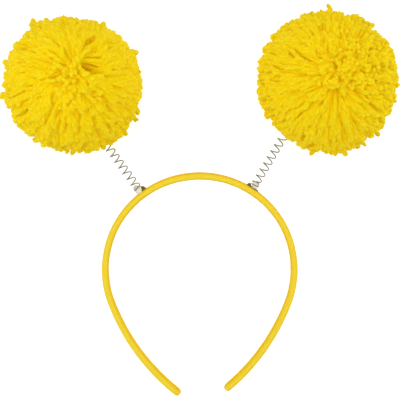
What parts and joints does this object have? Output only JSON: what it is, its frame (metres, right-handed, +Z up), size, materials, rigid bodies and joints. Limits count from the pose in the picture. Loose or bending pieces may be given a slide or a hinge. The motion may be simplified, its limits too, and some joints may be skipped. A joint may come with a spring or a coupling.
{
  "type": "head bopper",
  "caption": "Yellow fabric-covered headband with open coil springs on its crown, each carrying a round yarn pompom that bobs as the wearer moves.",
  "frame": {"origin": "on the floor, under the middle of the whole part's box as it lies", "axes": "+Z up from the floor, +Y from the headband's tips towards its crown and the pompoms, +X to the right pompom"},
  "size_m": [0.2566, 0.2558, 0.0918],
  "materials": {
    "cover": "matt yellow fabric drawn tight over a plastic strip",
    "spring_wire": "bright drawn spring wire",
    "milky_glue": "set hot glue, milky",
    "brown_glue": "set glue, dark brown",
    "yarn": "matt chunky yarn, cut ends"
  },
  "bodies": {
    "root": {"headband": "cover", "left_spring": "spring_wire", "right_spring": "spring_wire", "left_glue_bead": "milky_glue", "right_glue_bead": "milky_glue", "left_glue_spot": "brown_glue", "right_glue_spot": "brown_glue", "left_pompom": "yarn", "right_pompom": "yarn"}
  },
  "joints": []
}
